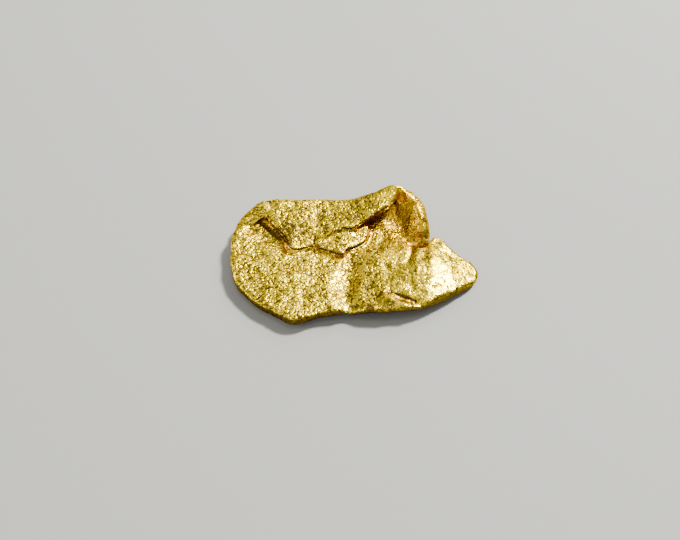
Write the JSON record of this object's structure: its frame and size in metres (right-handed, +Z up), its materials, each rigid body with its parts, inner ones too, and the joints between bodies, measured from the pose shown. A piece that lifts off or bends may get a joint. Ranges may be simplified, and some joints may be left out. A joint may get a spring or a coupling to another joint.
{
  "type": "gold nugget",
  "caption": "Flattened natural gold nugget with a folded-over back edge, a turned-up rim, a small tongue, shallow hollows and a worn, pitted skin.",
  "frame": {"origin": "middle of the nugget's length and width, at the level of the worn feet that it rests on", "axes": "+X along the length towards the narrow nose, +Y towards the folded-over back edge, +Z up out of the surface it rests on"},
  "size_m": [0.0172, 0.0108, 0.0033],
  "materials": {
    "native_gold": "satin"
  },
  "bodies": {
    "root": {"nugget": "native_gold"}
  },
  "joints": []
}
